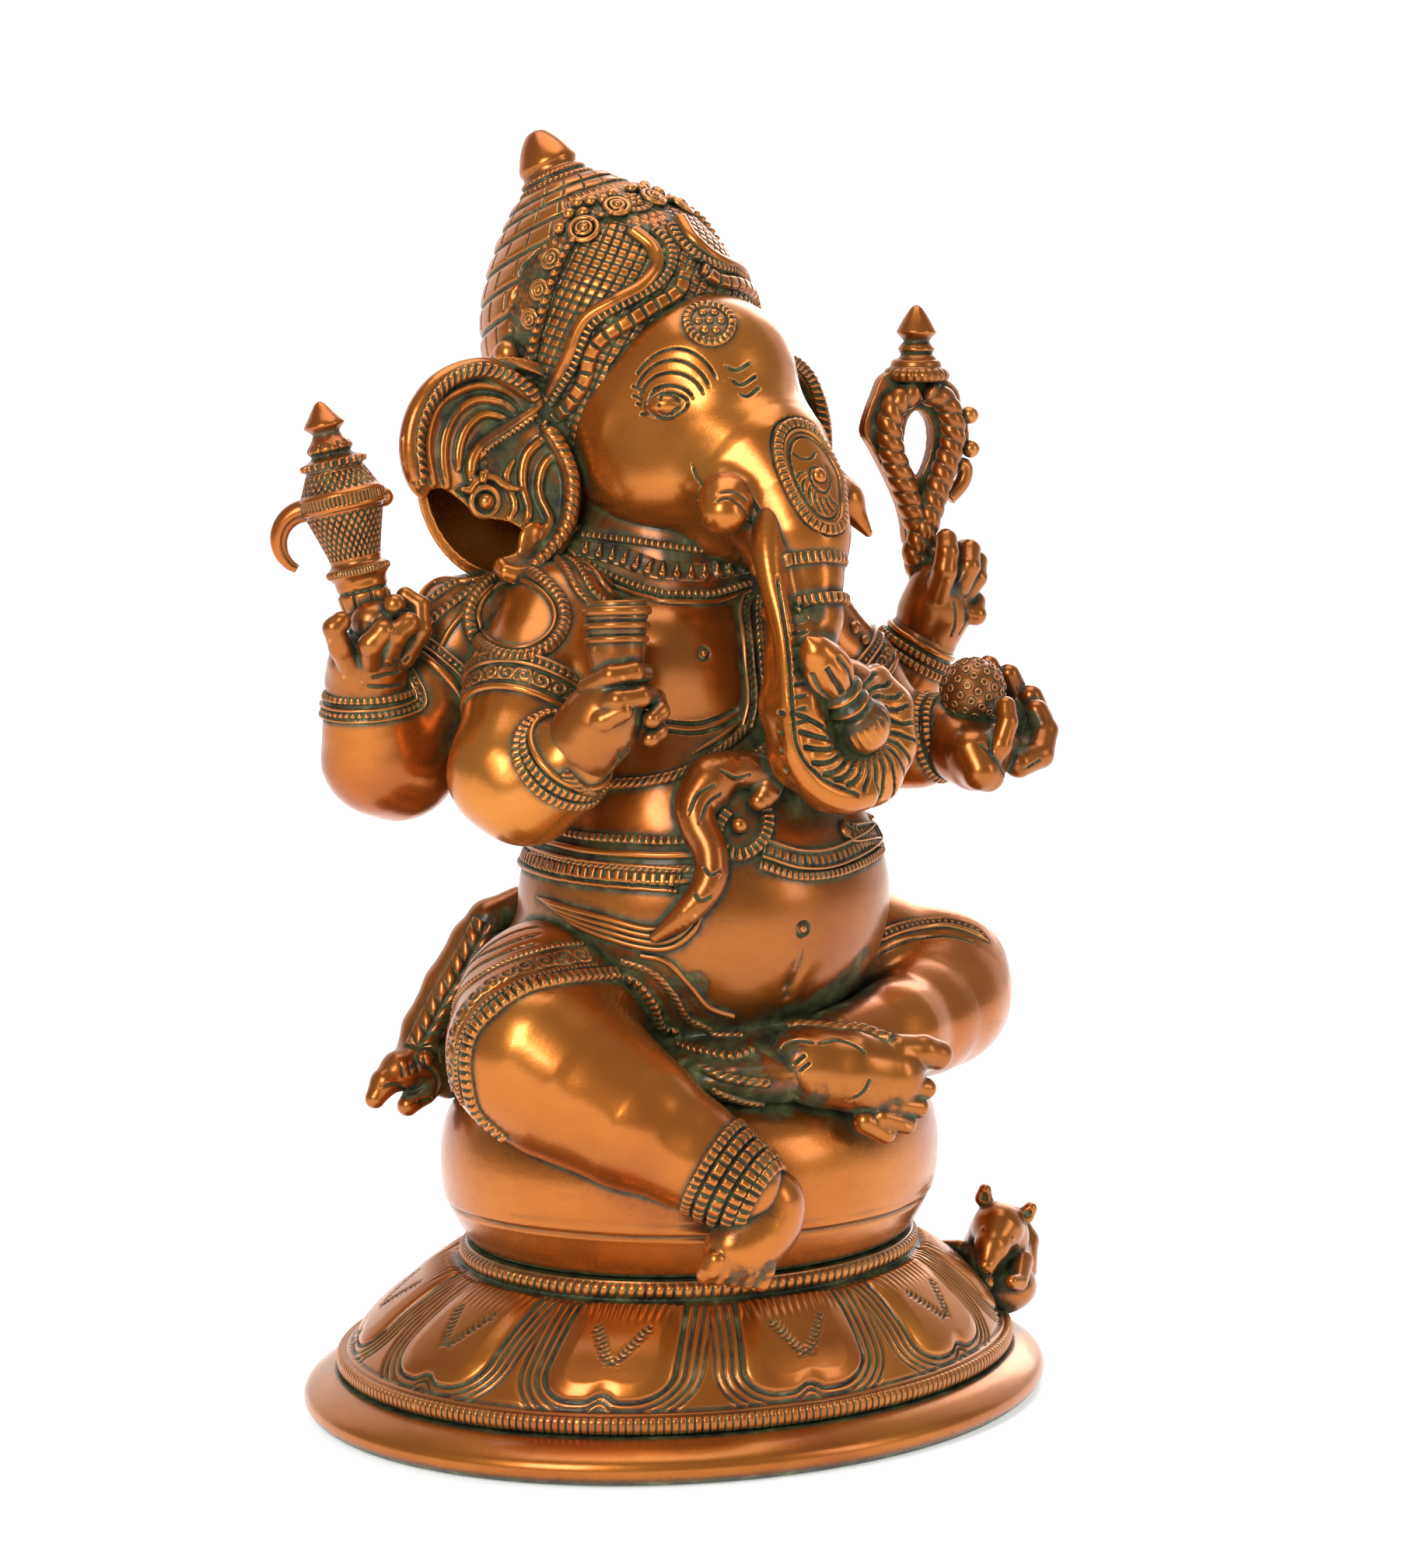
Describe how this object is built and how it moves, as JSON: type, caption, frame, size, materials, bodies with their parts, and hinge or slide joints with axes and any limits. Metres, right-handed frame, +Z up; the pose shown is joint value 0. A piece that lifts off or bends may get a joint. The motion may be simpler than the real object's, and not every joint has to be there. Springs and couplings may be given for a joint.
{
  "type": "ganesha idol",
  "caption": "Seated four-armed elephant-headed Ganesha idol in patinated brass on an oval lotus base, holding goad, noose, tusk and sweet, with a mouse at its side.",
  "frame": {"origin": "on the floor, under the middle of the oval plinth", "axes": "+Z up, -Y towards the front of the idol, +X towards the idol's own left"},
  "size_m": [0.248, 0.21, 0.3962],
  "materials": {
    "cast_brass": "copper-toned brass, burnished on the high surfaces, dark green patina in the recesses",
    "fixing_steel": "plain zinc-plated steel"
  },
  "bodies": {
    "root": {"plinth": "cast_brass", "lotus_base": "cast_brass", "seat_cushion": "cast_brass", "torso": "cast_brass", "head": "cast_brass", "crown": "cast_brass", "crown_finial": "cast_brass", "right_ear": "cast_brass", "left_ear": "cast_brass", "trunk": "cast_brass", "trunk_pot": "cast_brass", "right_tusk_stub": "cast_brass", "left_tusk": "cast_brass", "right_leg": "cast_brass", "right_foot": "cast_brass", "left_leg": "cast_brass", "left_foot": "cast_brass", "rear_right_arm": "cast_brass", "rear_right_hand": "cast_brass", "front_right_arm": "cast_brass", "front_right_hand": "cast_brass", "rear_left_arm": "cast_brass", "rear_left_hand": "cast_brass", "front_left_arm": "cast_brass", "front_left_hand": "cast_brass", "goad": "cast_brass", "noose": "cast_brass", "tusk_fragment": "cast_brass", "modak": "cast_brass", "sash_tail": "cast_brass", "mouse": "cast_brass", "tie_rods": "fixing_steel", "tie_rod_washers": "fixing_steel", "tie_rod_nuts": "fixing_steel"}
  },
  "joints": []
}
